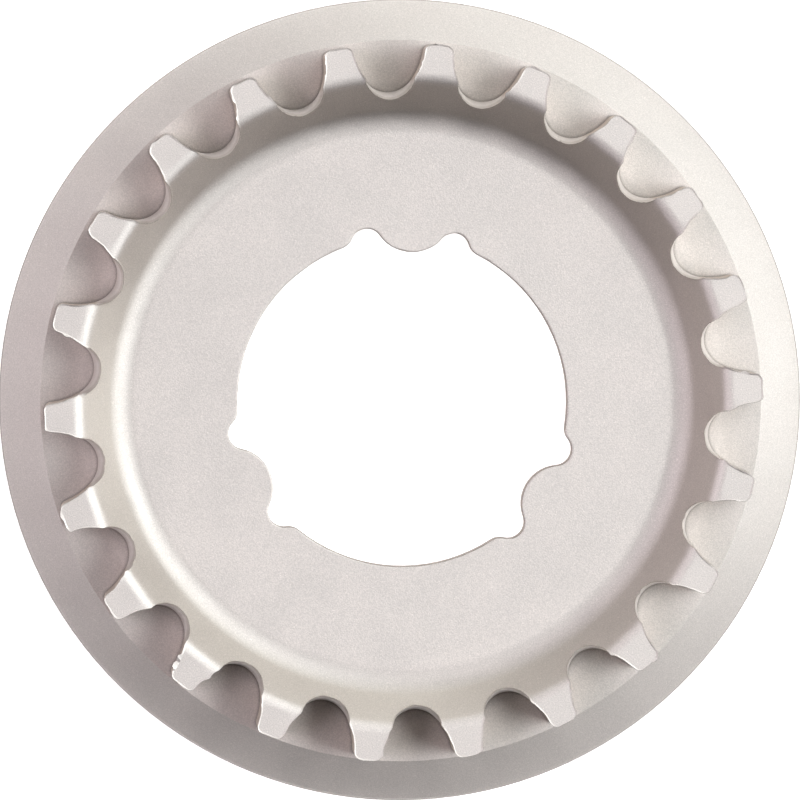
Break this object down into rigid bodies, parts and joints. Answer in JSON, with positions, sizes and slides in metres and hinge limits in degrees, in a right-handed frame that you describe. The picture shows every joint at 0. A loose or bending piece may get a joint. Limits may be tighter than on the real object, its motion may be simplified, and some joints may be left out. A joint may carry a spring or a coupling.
{
  "type": "toothed belt pinion",
  "caption": "Steel toothed-belt pinion with one conical side flange, a dished web and a hub bore with drive lugs and relief notches.",
  "frame": {"origin": "centre of the back face, on the axis of the hub bore", "axes": "+Z along the axis, from the flange's back face towards the teeth's open end; a drive lug lies near +Y"},
  "size_m": [0.0852, 0.0852, 0.013],
  "materials": {
    "blasted_steel": "pale blasted steel, matt and finely grained"
  },
  "bodies": {
    "root": {"belt_pinion": "blasted_steel"}
  },
  "joints": []
}
